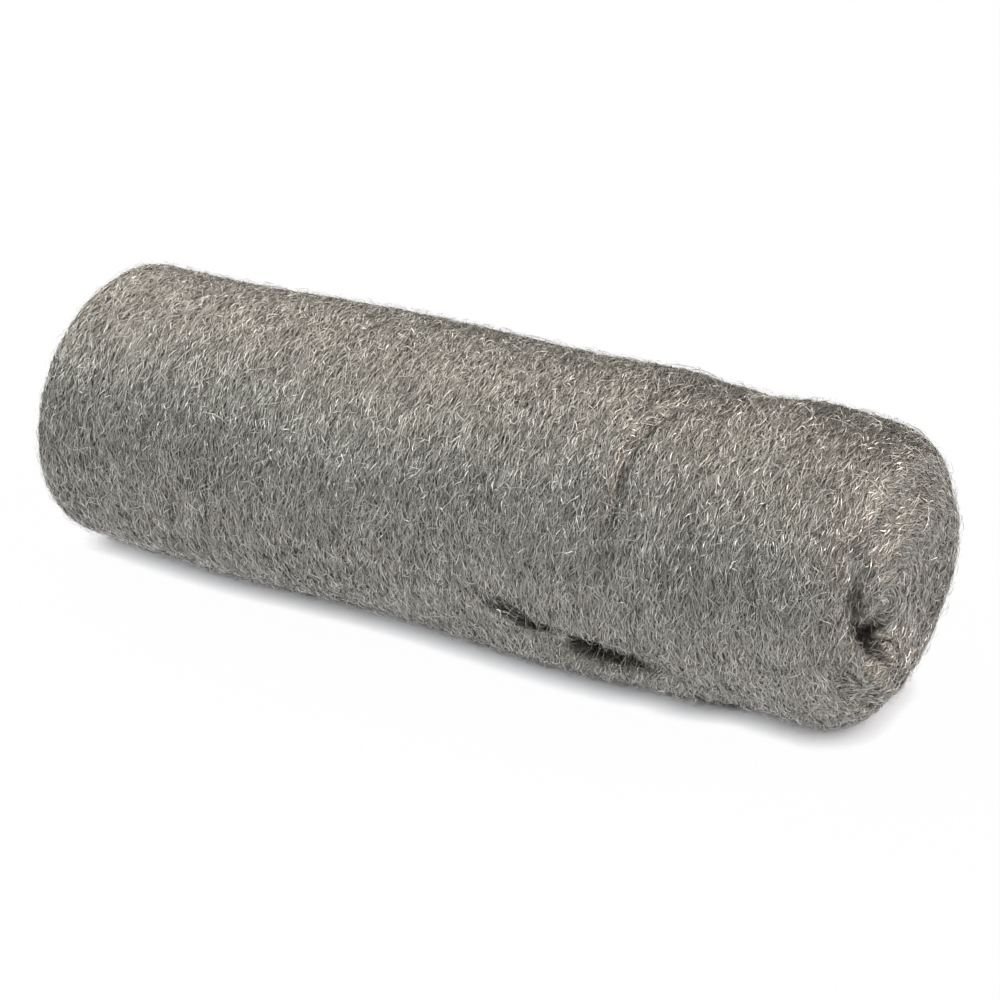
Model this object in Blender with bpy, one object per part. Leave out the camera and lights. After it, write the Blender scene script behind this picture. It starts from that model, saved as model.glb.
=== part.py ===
"""A roll of steel wool: one soft batt of fine steel strands, wound up on itself and laid on its side.

Metres, +Z up. X runs along the roll, -Y is the front, and the origin is under the middle, on the surface
that the roll lies on. Angles round the roll start at the back (+Y) and rise over the top.
"""

import math

import bmesh
import bpy
from mathutils import Vector

# The roll as it lies, under the last turn of its tail
LEFT_REACH = 0.1058  # how far the crests of the two ends would lie from the middle, if they weren't cut
RIGHT_REACH = 0.1028
ROLL_WIDTH = 0.0664
ROLL_HEIGHT = 0.0637
FLAT_WIDTH = 0.020  # the soft underside settles flat over this width

# The batt that is wound up, and its tail, which comes out from under the roll at the front
BATT_THICKNESS = 0.0125
TAIL_THICKNESS = 0.0012  # of its free edge by the open gap
TAIL_THINNING = 0.0008  # by this much the free edge is thinner at its left end
TAIL_THINNING_LENGTH = 0.060
TAIL_EDGE_ANGLE = math.radians(213)
TAIL_EDGE_SOFTNESS = math.radians(8)
TAIL_EDGE_SLOPE = math.radians(260)  # for each metre to the left the free edge runs further under the roll
TAIL_TUCK_X = 0.050  # right of here the free edge turns under the roll
TAIL_TUCK_LENGTH = 0.024
TAIL_TUCK_ANGLE = math.radians(38)

# The gap that stands open above the tail's free edge
CREVICE_DEPTH = 0.0064
CREVICE_HALF_WIDTH = 0.0029
CREVICE_X = 0.0385
CREVICE_HALF_LENGTH = 0.018

# Where the batt was gripped and creased while it was rolled
WAIST_DEPTH = 0.0026  # at the top, from where it fades to nothing underneath
WAIST_X = 0.0645
WAIST_SLANT = 0.0075  # the waist runs this much further left over the top, and further right below
WAIST_HALF_LENGTH = 0.0095
CREASE_DEPTH = 0.0009
CREASE_X = 0.0455
CREASE_HALF_LENGTH = 0.0024
LUMP_HEIGHT = 0.0005
LUMP_LENGTH = 0.087  # from one lump to the next along the roll
LUMPS_AROUND = 3
LEFT_LIFT = 0.0010  # the left end curves up clear of what the roll lies on
LEFT_SAG = 0.0018  # the top comes down by this much towards the left end
LEFT_SAG_START_X = -0.050
LEFT_SAG_LENGTH = 0.050
RIGHT_SAG = 0.0022  # and by this much towards the right end
RIGHT_SAG_START_X = 0.058
RIGHT_SAG_LENGTH = 0.026

# The two ends: rounded shoulders, and a hollow in the middle with the turns' spiral groove
RIGHT_SHOULDER = 0.0215
RIGHT_HOLLOW = 0.0080
RIGHT_EYE_DEPTH = 0.0050
RIGHT_EYE_DROP = 0.0110  # the eye of the spiral has sagged this far below the middle
RIGHT_EYE_SHIFT = 0.0085  # and lies this far in front of it
RIGHT_FRONT_CUT = 0.0075  # the end stands back this much more at the front than at the back
RIGHT_FOOT_CUT = 0.0050  # and this much more at the bottom than at the top
LEFT_SHOULDER = 0.0085
LEFT_HOLLOW = 0.0035
LEFT_EYE_DEPTH = 0.0050
LEFT_EYE_DROP = 0.0030
LEFT_EYE_SHIFT = 0.0020
LEFT_HEAD_CUT = 0.0036  # the left end stands back this much above its foot
LEFT_FOOT_HEIGHT = 0.034
RIM_BREADTH = 0.0150  # from the outside in to the crest of an end
GROOVE_DEPTH = 0.0032
GROOVE_HALF_WIDTH = 0.0026
EYE_RADIUS = 0.0046

# How finely the surface is drawn
ANGLE_STEPS = 64
BODY_STEPS = 36
SHOULDER_STEPS = 12
SHOULDER_GRADING = 1.6  # above 1, the shoulder's rings lie closer together where it bends most
HOLLOW_STEPS = 10

STEEL_GREY = (0.22, 0.215, 0.195, 1.0)

FULL_TURN = 2 * math.pi
MEAN_RADIUS = (ROLL_WIDTH + ROLL_HEIGHT) / 4
CREST_SHARE = 1 - RIM_BREADTH / MEAN_RADIUS  # how far out from the eye an end's crest lies


def smooth_step(value):
    """0 below 0, 1 above 1, and a smooth rise between them."""
    held = min(max(value, 0.0), 1.0)
    return held * held * (3 - 2 * held)


def bump(distance, half_width):
    """1 at distance 0, falling away smoothly to both sides."""
    return math.exp(-((distance / half_width) ** 2))


def tail_edge(x):
    """The angle of the batt's free edge at x. It is highest by the open gap and runs under the roll both ways."""
    leftward = TAIL_EDGE_SLOPE * max(CREVICE_X - x, 0.0)
    rightward = TAIL_TUCK_ANGLE * smooth_step((x - TAIL_TUCK_X) / TAIL_TUCK_LENGTH)
    return TAIL_EDGE_ANGLE + leftward + rightward


def past_edge(x, angle):
    """How far round from the free edge an angle lies, from 0 up to a full turn."""
    return (angle - tail_edge(x)) % FULL_TURN


def swell(x, angle):
    """What the winding, the creases and the open gap add to the roll's radius at one place."""
    past = past_edge(x, angle)
    # The outline is one turn of a spiral: it steps out at the free edge and thins to nothing round the roll.
    edge = TAIL_THICKNESS - TAIL_THINNING * smooth_step((CREVICE_X - x) / TAIL_THINNING_LENGTH)
    winding = edge * smooth_step(past / TAIL_EDGE_SOFTNESS) * (1 - past / FULL_TURN)

    from_edge = min(past, FULL_TURN - past) * MEAN_RADIUS
    crevice = CREVICE_DEPTH * bump(x - CREVICE_X, CREVICE_HALF_LENGTH) * bump(from_edge, CREVICE_HALF_WIDTH)
    upward = math.sin(angle)
    waist = WAIST_DEPTH * (1 + upward) / 2 * bump(x - WAIST_X + WAIST_SLANT * upward, WAIST_HALF_LENGTH)
    crease = CREASE_DEPTH * bump(x - CREASE_X, CREASE_HALF_LENGTH)
    lumps = LUMP_HEIGHT * math.sin(FULL_TURN * x / LUMP_LENGTH + LUMPS_AROUND * angle)
    return winding + lumps - crevice - waist - crease


def section_point(x, angle):
    """A point of the roll's outside at station x, with the underside settled flat."""
    # The flat is a chord of the section's ellipse, and the ellipse's height is what leaves ROLL_HEIGHT above it.
    chord = math.sqrt(1 - (FLAT_WIDTH / ROLL_WIDTH) ** 2)
    half_height = ROLL_HEIGHT / (1 + chord)
    centre_z = half_height * chord
    extra = swell(x, angle)
    y = (ROLL_WIDTH / 2 + extra) * math.cos(angle)
    z = centre_z + (half_height + extra) * math.sin(angle)
    leftward = smooth_step((LEFT_SAG_START_X - x) / LEFT_SAG_LENGTH)
    rightward = smooth_step((x - RIGHT_SAG_START_X) / RIGHT_SAG_LENGTH)
    sag = LEFT_SAG * leftward + RIGHT_SAG * rightward
    return Vector((x, y, max(z * (1 - sag / ROLL_HEIGHT), 0.0) + LEFT_LIFT * leftward))


def right_cut(y, z):
    """How far the crest of the right end stands back at a place on it."""
    return RIGHT_FRONT_CUT * (0.5 - y / ROLL_WIDTH) + RIGHT_FOOT_CUT * (1 - z / ROLL_HEIGHT)


def left_cut(y, z):
    """How far the crest of the left end stands back at a place on it."""
    return LEFT_HEAD_CUT * smooth_step(z / LEFT_FOOT_HEIGHT)


def hollow_depth(share, past, hollow, eye_depth):
    """How far an end's surface lies below its crest, inside the crest.

    share runs from 0 at the eye of the spiral to 1 at the outside, and past is the angle past the free edge.
    """
    depth = hollow * smooth_step(1 - share / CREST_SHARE)
    # The groove between two turns comes in from the free edge by one batt thickness in each turn.
    inward = (1 - share) * MEAN_RADIUS
    turns_in = inward / BATT_THICKNESS - past / FULL_TURN
    to_groove = (turns_in - round(turns_in)) * BATT_THICKNESS
    from_rim = smooth_step(inward / BATT_THICKNESS)
    from_eye = smooth_step(share * MEAN_RADIUS / EYE_RADIUS)
    groove = GROOVE_DEPTH * from_rim * from_eye * bump(to_groove, GROOVE_HALF_WIDTH)
    return depth + groove + eye_depth * bump(share * MEAN_RADIUS, EYE_RADIUS)


def end_shares():
    """The rings of an end, from just inside the shoulder's start to just outside the eye."""
    shoulder = [
        1 - (1 - CREST_SHARE) * (step / SHOULDER_STEPS) ** SHOULDER_GRADING
        for step in range(1, SHOULDER_STEPS + 1)
    ]
    hollow = [CREST_SHARE * (1 - step / HOLLOW_STEPS) for step in range(1, HOLLOW_STEPS)]
    return shoulder + hollow


def end_rings(side, reach, shoulder, hollow, eye_depth, eye, cut):
    """The rings of one end from its shoulder to its eye, and the eye's tip.

    side is 1 for the right end and -1 for the left, and eye is where the spiral's eye lies across the roll.
    """
    start = reach - shoulder
    angles = [FULL_TURN * step / ANGLE_STEPS for step in range(ANGLE_STEPS)]
    outside = [section_point(side * start, angle) for angle in angles]
    eye_y, eye_z = eye

    def place(share, rim, past):
        y = eye_y + (rim.y - eye_y) * share
        z = eye_z + (rim.z - eye_z) * share
        across = max(share - CREST_SHARE, 0.0) / (1 - CREST_SHARE)
        crest = reach - cut(y, z)
        rounded = start + (crest - start) * math.sqrt(max(1 - across * across, 0.0))
        return Vector((side * (rounded - hollow_depth(share, past, hollow, eye_depth)), y, z))

    rings = [
        [place(share, rim, past_edge(side * start, angle)) for rim, angle in zip(outside, angles)]
        for share in end_shares()
    ]
    return rings, place(0.0, outside[0], 0.0)


def body_rings():
    """The roll's outside between its two shoulders, from left to right."""
    left = LEFT_SHOULDER - LEFT_REACH
    right = RIGHT_REACH - RIGHT_SHOULDER
    rings = []
    for station in range(BODY_STEPS + 1):
        x = left + (right - left) * station / BODY_STEPS
        rings.append([section_point(x, FULL_TURN * step / ANGLE_STEPS) for step in range(ANGLE_STEPS)])
    return rings


def skin(shell, rings, left_tip, right_tip):
    """Joins the rings, from left to right, into one closed shell with its faces pointing out."""
    loops = [[shell.verts.new(point) for point in ring] for ring in rings]
    for before, after in zip(loops, loops[1:]):
        for step in range(ANGLE_STEPS):
            following = (step + 1) % ANGLE_STEPS
            shell.faces.new((before[step], before[following], after[following], after[step]))
    for loop, tip in ((loops[0], left_tip), (loops[-1], right_tip)):
        point = shell.verts.new(tip)
        for step in range(ANGLE_STEPS):
            shell.faces.new((loop[step], loop[(step + 1) % ANGLE_STEPS], point))
    bmesh.ops.recalc_face_normals(shell, faces=shell.faces)


def stand_on_origin(shell):
    """Brings the middle of the roll's box over the origin."""
    for axis in range(2):
        places = [vertex.co[axis] for vertex in shell.verts]
        middle = (min(places) + max(places)) / 2
        for vertex in shell.verts:
            vertex.co[axis] -= middle


def steel_wool():
    """Matt grey steel strands."""
    material = bpy.data.materials.new("steel_wool")
    material.use_nodes = True
    shader = material.node_tree.nodes["Principled BSDF"]
    shader.inputs["Base Color"].default_value = STEEL_GREY
    shader.inputs["Metallic"].default_value = 0.85
    shader.inputs["Roughness"].default_value = 0.55
    return material


def wool_roll():
    """The whole roll as one solid: its turns cling together, so that only the ends' grooves part them."""
    left_eye = (-LEFT_EYE_SHIFT, ROLL_HEIGHT / 2 - LEFT_EYE_DROP)
    right_eye = (-RIGHT_EYE_SHIFT, ROLL_HEIGHT / 2 - RIGHT_EYE_DROP)
    left_rings, left_tip = end_rings(
        -1, LEFT_REACH, LEFT_SHOULDER, LEFT_HOLLOW, LEFT_EYE_DEPTH, left_eye, left_cut
    )
    right_rings, right_tip = end_rings(
        1, RIGHT_REACH, RIGHT_SHOULDER, RIGHT_HOLLOW, RIGHT_EYE_DEPTH, right_eye, right_cut
    )
    rings = left_rings[::-1] + body_rings() + right_rings
    shell = bmesh.new()
    skin(shell, rings, left_tip, right_tip)
    stand_on_origin(shell)
    mesh = bpy.data.meshes.new("wool_roll")
    shell.to_mesh(mesh)
    shell.free()
    mesh.shade_smooth()
    mesh.materials.append(steel_wool())
    roll = bpy.data.objects.new("wool_roll", mesh)
    bpy.context.scene.collection.objects.link(roll)
    return roll


for old in list(bpy.data.objects):
    bpy.data.objects.remove(old)
wool_roll()
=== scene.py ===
import math

import bmesh
import bpy
import numpy as np
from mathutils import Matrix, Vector, noise
from mathutils.bvhtree import BVHTree


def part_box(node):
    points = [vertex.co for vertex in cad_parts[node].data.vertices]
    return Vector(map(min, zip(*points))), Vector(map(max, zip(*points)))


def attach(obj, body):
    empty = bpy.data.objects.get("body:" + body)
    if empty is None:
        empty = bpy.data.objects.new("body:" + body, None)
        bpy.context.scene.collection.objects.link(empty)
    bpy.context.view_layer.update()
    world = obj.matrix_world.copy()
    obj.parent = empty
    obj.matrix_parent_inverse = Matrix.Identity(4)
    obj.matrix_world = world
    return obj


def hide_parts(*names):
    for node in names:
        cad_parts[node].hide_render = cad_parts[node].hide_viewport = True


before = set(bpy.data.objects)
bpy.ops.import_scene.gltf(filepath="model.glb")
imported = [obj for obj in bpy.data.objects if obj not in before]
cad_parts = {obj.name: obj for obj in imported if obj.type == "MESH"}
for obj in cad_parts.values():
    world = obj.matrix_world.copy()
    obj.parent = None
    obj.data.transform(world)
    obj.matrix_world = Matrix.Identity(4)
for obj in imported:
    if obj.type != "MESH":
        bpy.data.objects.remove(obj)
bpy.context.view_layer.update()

# The batt: fine low-carbon steel strands, shaved from wire by toothed knives and matted by their barbs.
# It is wound up on itself into a roll, and nothing else holds it. Nearly all strands run round the roll.

MM = 0.001
FULL_TURN = 2 * math.pi
ROLL_LOW, ROLL_HIGH = (Vector(corner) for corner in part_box("wool_roll"))
AXIS_Z = (ROLL_LOW.z + ROLL_HIGH.z) / 2
ROLL_RADIUS = (ROLL_HIGH.z - ROLL_LOW.z) / 2
EYE_SAG = 3.0 * MM  # how far the spiral's eye hangs below the roll's axis
RIGHT_EYE = (-15.0 * MM, AXIS_Z - EYE_SAG)  # y and z of the eye on each end
LEFT_EYE = (-2.0 * MM, AXIS_Z - EYE_SAG)

SAME_PLACE = 1e-6  # metres: vertices nearer to each other than this are joined
BATT_CELL = 0.95 * MM  # how finely the matted surface is drawn
BATT_SMOOTHING = 4  # rounds that ease the small steps between its cells
BATT_INSET = 0.15 * MM  # the mat lies this far inside the solid, because loose strands cover it

# Strands cling together in locks, with smaller tufts on them. Widths and lengths are in millimetres.
LOCKS = {"width": 1.7, "length": 9.0, "height": 0.42 * MM, "seed": 3.1}
TUFTS = {"width": 0.8, "length": 4.0, "height": 0.2 * MM, "seed": 17.7}
FLOOR_GAP = 0.1 * MM  # what lies on the floor ends this far above it

# Folds in the wound batt, as (x, y, z, depth) in millimetres along each. A depth below 0 swells the
# surface. A fold is pressed straight into the surface, unless it has a way in of its own.
FOLD_STEPS = 4  # between two points of a path, each laid onto the surface
FOLDS = [
    {   # the gap above the tail's free edge, where it opens and goes in under the turn above
        "half_width": 1.8,
        "way_in": (0, 0.95, -0.3),
        "path": [
            (12, -32, 23.7, 0), (18, -31.8, 21.9, 3), (22, -31.3, 20.1, 5.5), (26, -30.8, 18.1, 7),
            (29, -30.4, 17.2, 6.5), (32, -29.9, 16.7, 7), (34.5, -29.4, 15.9, 8), (36, -28.9, 15.1, 6),
            (37.5, -28.2, 14.4, 0),
        ],
    },
    {   # the same gap, where the turns stand apart
        "half_width": 1.8,
        "path": [
            (34, -28, 14.8, 0), (36, -26, 13, 7), (43, -25.3, 11.6, 5), (50, -25.5, 11.3, 3),
            (60, -25.8, 11.5, 0),
        ],
    },
    {   # the line where a hand has gripped the roll
        "half_width": 1.3,
        "path": [
            (51.5, -2.4, 62.8, 0), (49, -7, 62.4, 1.5), (46.4, -13.2, 61.3, 2.0),
            (44.6, -19.2, 58, 2.1), (44.6, -24.9, 52.6, 2.0), (45.2, -29.4, 45.8, 1.7),
            (44.6, -33.2, 34, 1.0), (45.4, -32.5, 22.4, 0),
        ],
    },
    {   # the batt pushed up beside that line
        "half_width": 2.6,
        "path": [
            (47, -4, 64, 0), (44.5, -9, 63, -0.6), (42, -15, 60.5, -0.9), (40.6, -21, 57, -0.9),
            (40.6, -26.5, 51, -0.7), (41, -31, 43, 0),
        ],
    },
    {   # a thin line between two locks, lower on the right
        "half_width": 0.9,
        "path": [
            (73.5, -27, 49, 0), (76.2, -31.7, 41.3, 1.2), (77.6, -33.3, 35.8, 1.4),
            (79.9, -32.3, 22.5, 0),
        ],
    },
    {   # the right end's inner turns, which bulge out of the hollow
        "half_width": 6.5,
        "path": [
            (97, -12, 42, -1), (96, -7, 34, -3), (93, -4, 26, -5.5), (91, -3, 18, -9),
            (92, -6, 13, -7),
        ],
    },
    {   # the crease inside the front rim, down to the eye
        "half_width": 1.9,
        "path": [
            (93, -19, 52, 0), (94, -22.4, 46.6, 1.5), (94.5, -23, 41, 2.5), (94.6, -22.8, 35, 3.5),
            (94.3, -21.5, 30, 3), (93.2, -18, 26, 2.2), (93, -13, 25, 1.5), (94, -7, 25, 0),
        ],
    },
    {   # the eye
        "half_width": 3.0,
        "path": [(94.3, -21, 29.5, 1.2), (93.2, -18, 26.5, 1.8), (93, -14, 25, 1)],
    },
    {   # the crease that goes round under the eye
        "half_width": 2.0,
        "path": [
            (89.5, -32, 34, 0), (91.4, -31.3, 28.3, 1.2), (93.6, -27.8, 22.6, 1.7),
            (94.4, -20.3, 16.2, 1.7), (96.3, -13.4, 12.2, 1.2), (96, -4, 10.5, 0),
        ],
    },
]


def evaluated_mesh(piece):
    """The piece's mesh with its modifiers applied."""
    depsgraph = bpy.context.evaluated_depsgraph_get()
    return bpy.data.meshes.new_from_object(piece.evaluated_get(depsgraph))


def even_surface(node, name):
    """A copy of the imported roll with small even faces, so that relief can be drawn on it."""
    shell = bmesh.new()
    shell.from_mesh(node.data)
    bmesh.ops.remove_doubles(shell, verts=shell.verts, dist=SAME_PLACE)
    mesh = bpy.data.meshes.new(name)
    shell.to_mesh(mesh)
    shell.free()
    piece = bpy.data.objects.new(name, mesh)
    bpy.context.scene.collection.objects.link(piece)
    cells = piece.modifiers.new("cells", "REMESH")
    cells.mode = "VOXEL"
    cells.voxel_size = BATT_CELL
    ease = piece.modifiers.new("ease", "SMOOTH")
    ease.iterations = BATT_SMOOTHING
    piece.data = evaluated_mesh(piece)
    piece.modifiers.clear()
    return piece


def vertex_vectors(mesh):
    """The mesh's vertices and their normals as arrays of rows."""
    points = np.empty(len(mesh.vertices) * 3)
    normals = np.empty(len(mesh.vertices) * 3)
    mesh.vertices.foreach_get("co", points)
    mesh.vertex_normals.foreach_get("vector", normals)
    return points.reshape(-1, 3), normals.reshape(-1, 3)


def press_folds(piece):
    """Presses the folds into the surface, each deepest along its own path."""
    surface = BVHTree.FromObject(piece, bpy.context.evaluated_depsgraph_get())
    points, normals = vertex_vectors(piece.data)
    moved = np.zeros(points.shape)
    for fold in FOLDS:
        path = np.array(fold["path"]) * MM
        corners = np.arange(len(path))
        fine = np.linspace(0, corners[-1], corners[-1] * FOLD_STEPS + 1)
        path = np.stack([np.interp(fine, corners, column) for column in path.T], 1)
        path[:, :3] = [surface.find_nearest(place)[0][:] for place in path[:, :3].tolist()]
        nearest = np.full(len(points), np.inf)
        depth = np.zeros(len(points))
        for start, end in zip(path, path[1:]):
            way = end[:3] - start[:3]
            share = np.clip((points - start[:3]) @ way / max(way @ way, SAME_PLACE ** 2), 0, 1)
            distance = np.linalg.norm(points - start[:3] - share[:, None] * way, axis=1)
            depth = np.where(distance < nearest, start[3] + share * (end[3] - start[3]), depth)
            nearest = np.minimum(distance, nearest)
        depth *= np.exp(-((nearest / (fold["half_width"] * MM)) ** 2))
        moved += depth[:, None] * np.array(fold.get("way_in", -normals))
    piece.data.vertices.foreach_set("co", (points + moved).ravel())
    piece.data.update()


def strand_space(points):
    """Points as millimetres along the roll, round it, as the strands run, and out from its axis."""
    height = points[:, 2] - AXIS_Z
    angle = np.arctan2(points[:, 1], height)
    out = np.hypot(points[:, 1], height)
    return np.stack([points[:, 0], angle * ROLL_RADIUS, out], 1) / MM


def drawn_out_relief(places, shape):
    """Heights from noise that is drawn out along the strands."""
    cell = np.array([shape["width"], shape["length"], shape["width"]])
    scaled = places / cell + shape["seed"]
    return shape["height"] * np.array([noise.noise(place) for place in scaled.tolist()])


def rough_up(mesh):
    """Raises the mat's surface into locks and tufts that run with the strands."""
    points, normals = vertex_vectors(mesh)
    places = strand_space(points)
    relief = drawn_out_relief(places, LOCKS) + drawn_out_relief(places, TUFTS)
    points += normals * (relief - BATT_INSET)[:, None]
    points[:, 2] = np.maximum(points[:, 2], FLOOR_GAP)
    mesh.vertices.foreach_set("co", points.ravel())
    mesh.update()


def linear(hex_colour):
    """An sRGB hex colour as Blender's linear one."""
    channels = [int(hex_colour[at:at + 2], 16) / 255 for at in (1, 3, 5)]
    return [c / 12.92 if c <= 0.04045 else ((c + 0.055) / 1.055) ** 2.4 for c in channels] + [1.0]


def add(tree, kind, settings=None, inputs=None, stops=None):
    """Adds a node. An input is a value or the output that feeds it, and stops are a ramp's hex colours."""
    node = tree.nodes.new(kind)
    for key, value in (settings or {}).items():
        setattr(node, key, value)
    for key, value in (inputs or {}).items():
        if isinstance(value, bpy.types.NodeSocket):
            tree.links.new(value, node.inputs[key])
        else:
            node.inputs[key].default_value = value
    for at, (place, colour) in enumerate(stops or []):
        band = node.color_ramp.elements
        stop = band[at] if at < 2 else band.new(place)
        stop.position = place
        stop.color = linear(colour)
    return node


def new_material(name):
    """An empty material, and the Principled shader and tree to build it on."""
    material = bpy.data.materials.new(name)
    material.use_nodes = True
    tree = material.node_tree
    return material, tree, tree.nodes["Principled BSDF"]


def places_in_wool(tree):
    """The nodes' own strand_space: millimetres along the roll, round it and out from its axis."""
    place = add(tree, "ShaderNodeTexCoord").outputs["Object"]
    split = add(tree, "ShaderNodeSeparateXYZ", inputs={0: place})
    height = add(tree, "ShaderNodeMath", {"operation": "SUBTRACT"}, {0: split.outputs["Z"], 1: AXIS_Z})
    angle = add(
        tree,
        "ShaderNodeMath",
        {"operation": "ARCTAN2"},
        {0: split.outputs["Y"], 1: height.outputs[0]},
    )
    around = add(
        tree,
        "ShaderNodeMath",
        {"operation": "MULTIPLY"},
        {0: angle.outputs[0], 1: ROLL_RADIUS},
    )
    section = add(
        tree,
        "ShaderNodeCombineXYZ",
        inputs={0: split.outputs["Y"], 1: height.outputs[0]},
    )
    out = add(tree, "ShaderNodeVectorMath", {"operation": "LENGTH"}, {0: section.outputs[0]})
    joined = add(
        tree,
        "ShaderNodeCombineXYZ",
        inputs={0: split.outputs["X"], 1: around.outputs[0], 2: out.outputs["Value"]},
    )
    scaled = add(
        tree,
        "ShaderNodeVectorMath",
        {"operation": "SCALE"},
        {0: joined.outputs[0], "Scale": 1 / MM},
    )
    return scaled.outputs[0]


# Real strands are 0.03 to 0.05 mm wide. They are drawn about five times as coarse, so that they show.
DRAWN_STRAND = 0.24  # millimetres, across one streak
DRAWN_STRAND_LENGTH = 3.4  # millimetres, of one streak
DRAWN_STRAND_DETAIL = 1.0
DRAWN_STRAND_WAVE = 0.6
CROSSING_LEANS = (math.radians(19), math.radians(-24), math.radians(4))
# Painted shade: the gaps between the drawn streaks are coloured nearly black, for the shade deep in the
# mat.
GAP_PAINTED_SHADE = "#4d4a45"
MAT_GREY = "#95928b"
MAT_LIGHT = "#c2bfb9"
MAT_STOPS = [(0.46, GAP_PAINTED_SHADE), (0.6, MAT_GREY), (0.74, MAT_LIGHT)]
MAT_ROUGHNESS = 0.5
MAT_BUMP = 0.25 * MM
MAT_BUMP_STRENGTH = 0.8


def matted_steel():
    """Matted steel strands: grey ridges with a dull shine that cross each other, and painted shade, nearly
    black, in the gaps between them.
    """
    material, tree, shader = new_material("matted_steel_strands")
    places = places_in_wool(tree)
    layers = []
    for lean in CROSSING_LEANS:
        leaning = add(
            tree,
            "ShaderNodeMapping",
            {"vector_type": "TEXTURE"},
            {
                "Vector": places,
                "Rotation": (lean, 0.0, lean),
                "Scale": (DRAWN_STRAND, DRAWN_STRAND_LENGTH, DRAWN_STRAND),
            },
        )
        grain = add(
            tree,
            "ShaderNodeTexNoise",
            inputs={
                "Vector": leaning.outputs[0],
                "Scale": 1.0,
                "Detail": DRAWN_STRAND_DETAIL,
                "Distortion": DRAWN_STRAND_WAVE,
            },
        )
        layers.append(grain.outputs[0])
    strands = layers[0]
    for layer in layers[1:]:
        strands = add(tree, "ShaderNodeMath", {"operation": "MAXIMUM"}, {0: strands, 1: layer}).outputs[0]
    colour = add(tree, "ShaderNodeValToRGB", inputs={0: strands}, stops=MAT_STOPS)
    relief = add(
        tree,
        "ShaderNodeBump",
        inputs={"Height": strands, "Strength": MAT_BUMP_STRENGTH, "Distance": MAT_BUMP},
    )
    tree.links.new(colour.outputs[0], shader.inputs["Base Color"])
    tree.links.new(relief.outputs[0], shader.inputs["Normal"])
    shader.inputs["Metallic"].default_value = 1.0
    shader.inputs["Roughness"].default_value = MAT_ROUGHNESS
    return material


batt = even_surface(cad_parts["wool_roll"], "wound_batt")
press_folds(batt)
guide = BVHTree.FromObject(batt, bpy.context.evaluated_depsgraph_get())
guide_triangles = np.array(
    [[batt.data.vertices[at].co[:] for at in corner.vertices] for corner in batt.data.loop_triangles]
)
rough_up(batt.data)
batt.data.shade_smooth()
batt.data.materials.append(matted_steel())
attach(batt, "root")
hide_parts("wool_roll")

# The strands that lie free on the batt's face: thin ribbons of bright steel with a twist in them. Each
# comes up out of the mat, runs a few millimetres over it and dives in again. Most lean less than 25
# degrees off the way that the batt is wound, and a few stray across it.

# The kinds of strand, from the deepest ones outwards. Length, width, base and arch are in millimetres: base
# is how high a strand lies and arch how far its middle rises. Lean, curl and twist are in degrees, and
# stray is the share of strands that stray.
# All kinds are the same steel. Their dark and light tones are painted lighter from the deepest kind
# outwards: painted shade on the deeper kinds, and painted highlight on the outer ones, most of all on the
# brightest kind and the fuzz.
STRAND_KINDS = [
    # painted shade: darker tones for the strands deep in the mat
    {
        "name": "deep_strands", "count": 20000, "steps": 3, "seed": 11,
        "length": (4.0, 7.5), "width": 0.30, "base": (-0.25, -0.05), "arch": 0.15,
        "lean": 20, "stray": 0.12, "curl": 24, "twist": 16,
        "dark": "#898681", "light": "#a8a5a0", "roughness": 0.58,
    },
    {
        "name": "outer_strands_a", "count": 30000, "steps": 3, "seed": 12,
        "length": (3.0, 6.5), "width": 0.22, "base": (-0.2, 0.05), "arch": 0.15,
        "lean": 17, "stray": 0.12, "curl": 24, "twist": 19,
        "dark": "#9a9791", "light": "#c0bdb7", "roughness": 0.54,
    },
    {
        "name": "outer_strands_b", "count": 30000, "steps": 3, "seed": 13,
        "length": (3.0, 6.5), "width": 0.20, "base": (-0.1, 0.15), "arch": 0.15,
        "lean": 19, "stray": 0.15, "curl": 26, "twist": 21,
        "dark": "#9a9791", "light": "#c4c1bb", "roughness": 0.52,
    },
    {
        "name": "outer_strands_c", "count": 30000, "steps": 3, "seed": 14,
        "length": (2.5, 5.5), "width": 0.18, "base": (-0.05, 0.25), "arch": 0.2,
        "lean": 22, "stray": 0.18, "curl": 28, "twist": 24,
        "dark": "#9f9c95", "light": "#c9c6c2", "roughness": 0.48,
    },
    {
        # painted highlight: the palest tones, which stand in for glints
        "name": "painted_glint_strands", "count": 13000, "steps": 3, "seed": 15,
        "length": (2.0, 4.2), "width": 0.17, "base": (0.05, 0.3), "arch": 0.2,
        "lean": 20, "stray": 0.12, "curl": 26, "twist": 28,
        "dark": "#c9c6c2", "light": "#e8e6e3", "roughness": 0.40,
    },
    {
        "name": "stray_strands", "count": 1700, "steps": 8, "seed": 16,
        "length": (7.0, 16.0), "width": 0.09, "base": (0.0, 0.5), "arch": 0.4,
        "lean": 40, "stray": 0.4, "curl": 70, "twist": 45,
        "dark": "#aeaba5", "light": "#d7d4cf", "roughness": 0.48,
    },
    {
        # painted highlight: pale tones for the fine fuzz
        "name": "fuzz_strands", "count": 16000, "steps": 3, "seed": 17,
        "length": (2.5, 5.0), "width": 0.06, "base": (0.2, 0.8), "arch": 0.5,
        "lean": 24, "stray": 0.3, "curl": 50, "twist": 60,
        "dark": "#c9c6c2", "light": "#e6e5e1", "roughness": 0.5,
    },
]
STRAY_LEAN = 60  # degrees off the winding, for the share of strands that stray
STRAND_WAVE = 0.6  # of its curl, that a strand winds from side to side at most
STRAND_DIVE = 0.4  # millimetres that a strand's ends go down
STRAND_TIP_WIDTH = 0.3  # of its full width
STRAND_WIDTH_SPREAD = (0.7, 1.3)  # of its kind's width
SHORTEST = 1e-9  # metres: no length is divided by less than this
UV_FILL = 0.6  # of its own cell that each strand's strip fills


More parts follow.
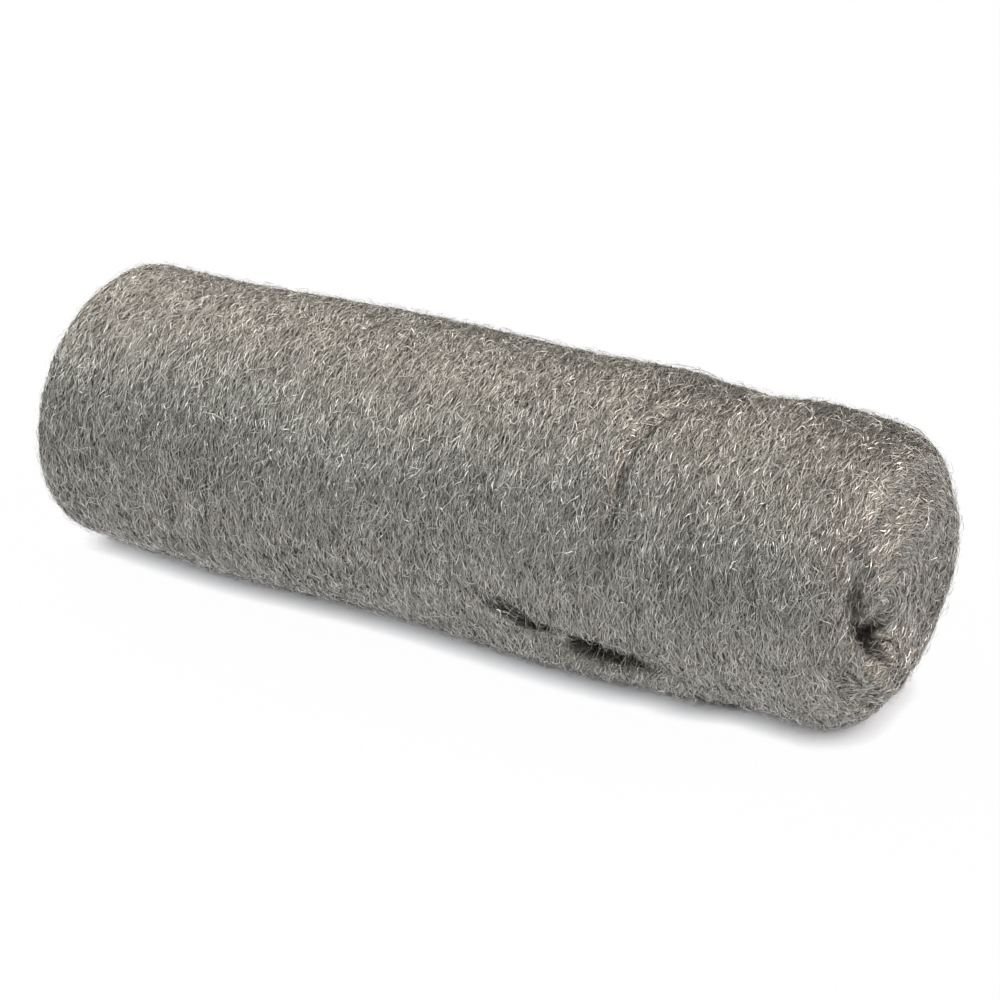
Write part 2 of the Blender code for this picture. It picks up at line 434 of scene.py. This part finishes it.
def unit(vectors):
    """The vectors with length 1."""
    return vectors / np.maximum(np.linalg.norm(vectors, axis=-1, keepdims=True), SHORTEST)


def settle(points):
    """For each point, the nearest place on the guide surface and the surface's outward direction there."""
    found = [guide.find_nearest(point)[:2] for point in points.tolist()]
    return np.array([place[:] for place, out in found]), np.array([out[:] for place, out in found])


def winding_direction(points, outs):
    """Which way the strands run: round the roll on its side, and round the spiral's eye on its ends."""
    eye = np.where(points[:, :1] > 0, RIGHT_EYE, LEFT_EYE)
    axis = np.array([0.0, AXIS_Z])
    from_middle = points[:, 1:] - axis - (eye - axis) * np.abs(outs[:, :1])
    around = np.stack([np.zeros(len(points)), -from_middle[:, 1], from_middle[:, 0]], 1)
    return unit(around - outs * (around * outs).sum(1, keepdims=True))


def scatter(draw, count):
    """Random places spread evenly over the guide surface."""
    sides = guide_triangles[:, 1:] - guide_triangles[:, :1]
    areas = np.linalg.norm(np.cross(sides[:, 0], sides[:, 1]), axis=1)
    chosen = draw.choice(len(areas), count, p=areas / areas.sum())
    share = draw.random((count, 2))
    share = np.where(share.sum(1, keepdims=True) > 1, 1 - share, share)
    return guide_triangles[chosen, 0] + (sides[chosen] * share[:, :, None]).sum(1)


def strand_paths(kind, draw):
    """Each strand's points on the guide surface and the ways out of it, as (step, strand, 3) arrays."""
    count, steps = kind["count"], kind["steps"]
    place, out = settle(scatter(draw, count))
    strays = draw.random(count) < kind["stray"]
    lean = np.radians(np.where(strays, STRAY_LEAN, kind["lean"])) * draw.standard_normal(count)
    lean += math.pi * draw.integers(0, 2, count)
    curl = math.radians(kind["curl"]) * draw.standard_normal(count)
    wave = math.radians(kind["curl"]) * STRAND_WAVE * draw.random(count)
    phase = FULL_TURN * draw.random(count)
    stride = draw.uniform(*kind["length"], count) * MM / steps
    places, outs = [place], [out]
    for step in range(steps):
        share = step / steps
        turn = lean + curl * (share - 0.5) + wave * np.sin(phase + FULL_TURN * share)
        along = winding_direction(place, out)
        aside = np.cross(out, along)
        heading = along * np.cos(turn)[:, None] + aside * np.sin(turn)[:, None]
        place, out = settle(place + heading * stride[:, None])
        places.append(place)
        outs.append(out)
    return np.array(places), np.array(outs)


def strand_corners(kind, draw):
    """The two edges of each strand's ribbon, as (strand, step, edge, 3) corners."""
    places, outs = strand_paths(kind, draw)
    count, steps = kind["count"], kind["steps"]
    share = np.linspace(0, 1, steps + 1)[:, None]
    arch = kind["arch"] * draw.random(count) * 2
    base = draw.uniform(*kind["base"], count) - STRAND_DIVE
    height = (base + (arch + STRAND_DIVE) * np.sin(math.pi * share)) * MM
    spine = places + outs * height[:, :, None]
    aside = np.cross(outs, unit(np.gradient(spine, axis=0)))
    facing = draw.standard_normal(count) + draw.standard_normal(count) * (share - 0.5)
    facing *= math.radians(kind["twist"])
    slant = aside * np.cos(facing)[:, :, None] + outs * np.sin(facing)[:, :, None]
    taper = STRAND_TIP_WIDTH + (1 - STRAND_TIP_WIDTH) * np.sin(math.pi * share)
    half = kind["width"] * MM / 2 * taper * draw.uniform(*STRAND_WIDTH_SPREAD, count)
    corners = np.stack([spine - slant * half[:, :, None], spine + slant * half[:, :, None]], 2)
    corners = corners.transpose(1, 0, 2, 3).copy()
    corners[..., 2] = np.maximum(corners[..., 2], FLOOR_GAP)
    return corners


def ribbons(name, corners, tones):
    """One mesh of ribbons. Each has its own tone, and its own cell of the map named OFBake."""
    count, rows = corners.shape[:2]
    mesh = bpy.data.meshes.new(name)
    mesh.vertices.add(count * rows * 2)
    mesh.vertices.foreach_set("co", corners.ravel())
    first = (np.arange(count)[:, None] * rows + np.arange(rows - 1)) * 2
    faces = np.stack([first, first + 1, first + 3, first + 2], 2).reshape(-1)
    mesh.loops.add(len(faces))
    mesh.loops.foreach_set("vertex_index", faces)
    mesh.polygons.add(len(faces) // 4)
    mesh.polygons.foreach_set("loop_start", np.arange(0, len(faces), 4))
    mesh.update(calc_edges=True)
    mesh.shade_smooth()
    tone = mesh.attributes.new("tone", "FLOAT", "POINT")
    tone.data.foreach_set("value", np.repeat(tones, rows * 2))
    cells = math.ceil(math.sqrt(count))
    column, row = np.arange(count) % cells, np.arange(count) // cells
    lengthwise, crosswise = np.meshgrid(np.linspace(0, 1, rows), (0.0, 1.0), indexing="ij")
    margin = (1 - UV_FILL) / 2
    across = (column[:, None, None] + margin + UV_FILL * lengthwise) / cells
    up = (row[:, None, None] + margin + UV_FILL * crosswise) / cells
    spots = np.stack([across, up], 3).reshape(-1, 2)
    layer = mesh.uv_layers.new(name="OFBake")
    layer.uv.foreach_set("vector", spots[faces].ravel())
    return mesh


PATCH_SIZE = 7.0  # millimetres: how far apart duller and brighter patches of strands lie
PATCH_DETAIL = 2.0
PATCH_CONTRAST = 1.2  # of the way from a kind's dark tone to its light one


def steel_strand(name, dark, light, roughness):
    """Bright drawn steel: a sharp glint where a strand's face turns to the light, and grey elsewhere."""
    material, tree, shader = new_material(name)
    tone = add(tree, "ShaderNodeAttribute", {"attribute_name": "tone"}).outputs["Fac"]
    places = places_in_wool(tree)
    patches = add(
        tree,
        "ShaderNodeTexNoise",
        inputs={"Vector": places, "Scale": 1 / PATCH_SIZE, "Detail": PATCH_DETAIL},
    )
    varied = add(
        tree,
        "ShaderNodeMath",
        {"operation": "MULTIPLY_ADD"},
        {0: patches.outputs[0], 1: PATCH_CONTRAST, 2: -PATCH_CONTRAST / 2},
    )
    blend = add(
        tree,
        "ShaderNodeMath",
        {"operation": "ADD", "use_clamp": True},
        {0: tone, 1: varied.outputs[0]},
    )
    colour = add(
        tree,
        "ShaderNodeValToRGB",
        inputs={0: blend.outputs[0]},
        stops=[(0.0, dark), (1.0, light)],
    )
    tree.links.new(colour.outputs[0], shader.inputs["Base Color"])
    shader.inputs["Metallic"].default_value = 1.0
    shader.inputs["Roughness"].default_value = roughness
    return material


for kind in STRAND_KINDS:
    draw = np.random.default_rng(kind["seed"])
    corners = strand_corners(kind, draw)
    tones = draw.random(kind["count"])
    strands = bpy.data.objects.new(kind["name"], ribbons(kind["name"], corners, tones))
    bpy.context.scene.collection.objects.link(strands)
    strands.data.materials.append(
        steel_strand("steel_of_" + kind["name"], kind["dark"], kind["light"], kind["roughness"])
    )
    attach(strands, "root")

# The studio: a white card floor that runs out of view and keeps the roll's soft contact shadow. A cool
# lamp stands at the front left, and two warmer ones at the back left and off the right end.

FLOOR_HALF = 5.0  # metres
FLOOR_WHITE = "#ececf6"
FLOOR_LIFT = 0.98  # how far the open floor is taken from lit white card to plain white
CONTACT_REACH = 5 * MM  # nearer to the roll than this the lift fades, which keeps the contact shadow
CONTACT_SAMPLES = 1  # how many rays look for the roll from each place on the floor


def white_floor():
    """Matt white card. What is seen of it straight or mirrored is lifted to white, and its shadow stays."""
    material, tree, shader = new_material("white_card")
    shader.inputs["Base Color"].default_value = linear(FLOOR_WHITE)
    shader.inputs["Roughness"].default_value = 1.0
    shader.inputs["Specular IOR Level"].default_value = 0.0
    rays = add(tree, "ShaderNodeLightPath").outputs
    seen = rays["Is Camera Ray"]
    for ray in ("Is Glossy Ray", "Is Transmission Ray"):
        seen = add(tree, "ShaderNodeMath", {"operation": "MAXIMUM"}, {0: seen, 1: rays[ray]}).outputs[0]
    open_air = add(
        tree,
        "ShaderNodeAmbientOcclusion",
        {"samples": CONTACT_SAMPLES},
        {"Distance": CONTACT_REACH},
    ).outputs["AO"]
    reach = add(tree, "ShaderNodeMath", {"operation": "MULTIPLY"}, {0: open_air, 1: FLOOR_LIFT})
    lift = add(tree, "ShaderNodeMath", {"operation": "MULTIPLY"}, {0: seen, 1: reach.outputs[0]})
    white = add(tree, "ShaderNodeEmission", inputs={"Color": (1.0, 1.0, 1.0, 1.0), "Strength": 1.0})
    card = add(
        tree,
        "ShaderNodeMixShader",
        inputs={0: lift.outputs[0], 1: shader.outputs[0], 2: white.outputs[0]},
    )
    tree.links.new(card.outputs[0], tree.nodes["Material Output"].inputs["Surface"])
    return material


sheet = bmesh.new()
bmesh.ops.create_grid(sheet, x_segments=1, y_segments=1, size=FLOOR_HALF)
floor_mesh = bpy.data.meshes.new("floor")
sheet.to_mesh(floor_mesh)
sheet.free()
floor = bpy.data.objects.new("floor", floor_mesh)
floor.location.z = ROLL_LOW.z
bpy.context.scene.collection.objects.link(floor)
floor.data.materials.append(white_floor())

# Each lamp's side, as seen from the roll, with its distance and size in metres.
LAMPS = [
    {
        "name": "key_lamp", "from": (-0.46, -0.62, 0.64), "away": 1.15,
        "size": 0.8, "watts": 6.4, "colour": "#f9fffb",
    },
    {
        "name": "top_lamp", "from": (-0.66, 0.32, 0.68), "away": 1.0,
        "size": 1.1, "watts": 8.9, "colour": "#fff8f0",
    },
    {
        "name": "end_lamp", "from": (0.80, 0.17, 0.56), "away": 1.5,
        "size": 1.2, "watts": 18.5, "colour": "#fff6ee",
    },
]
LAMP_AIM = Vector((0.0, 0.0, AXIS_Z))
WORLD_GREY = "#585b5a"

for lamp in LAMPS:
    light = bpy.data.lights.new(lamp["name"], "AREA")
    light.shape = "SQUARE"
    light.size = lamp["size"]
    light.energy = lamp["watts"]
    light.color = linear(lamp["colour"])[:3]
    stand = bpy.data.objects.new(lamp["name"], light)
    towards = Vector(lamp["from"]).normalized()
    stand.location = LAMP_AIM + towards * lamp["away"]
    stand.rotation_euler = towards.to_track_quat("Z", "Y").to_euler()
    bpy.context.scene.collection.objects.link(stand)

world = bpy.data.worlds.new("studio_air")
world.use_nodes = True
world.node_tree.nodes["Background"].inputs["Color"].default_value = linear(WORLD_GREY)
bpy.context.scene.world = world

bpy.context.scene.view_settings.view_transform = "Standard"

# The camera: a long lens from the front right, a little above the roll.

CAMERA_AZIMUTH = math.radians(28.53)
CAMERA_ELEVATION = math.radians(26.14)
CAMERA_DISTANCE = 0.5466  # metres
CAMERA_AIM = Vector((0.0038, 0.0, 0.0279))
CAMERA_LENS = 90.0  # millimetres, and so is the sensor's width
CAMERA_SENSOR = 36.0

camera = bpy.data.objects.new("camera", bpy.data.cameras.new("camera"))
camera.data.lens = CAMERA_LENS
camera.data.sensor_width = CAMERA_SENSOR
camera_side = Vector((
    math.sin(CAMERA_AZIMUTH) * math.cos(CAMERA_ELEVATION),
    -math.cos(CAMERA_AZIMUTH) * math.cos(CAMERA_ELEVATION),
    math.sin(CAMERA_ELEVATION),
))
camera.location = CAMERA_AIM + camera_side * CAMERA_DISTANCE
camera.rotation_euler = camera_side.to_track_quat("Z", "Y").to_euler()
bpy.context.scene.collection.objects.link(camera)
bpy.context.scene.camera = camera
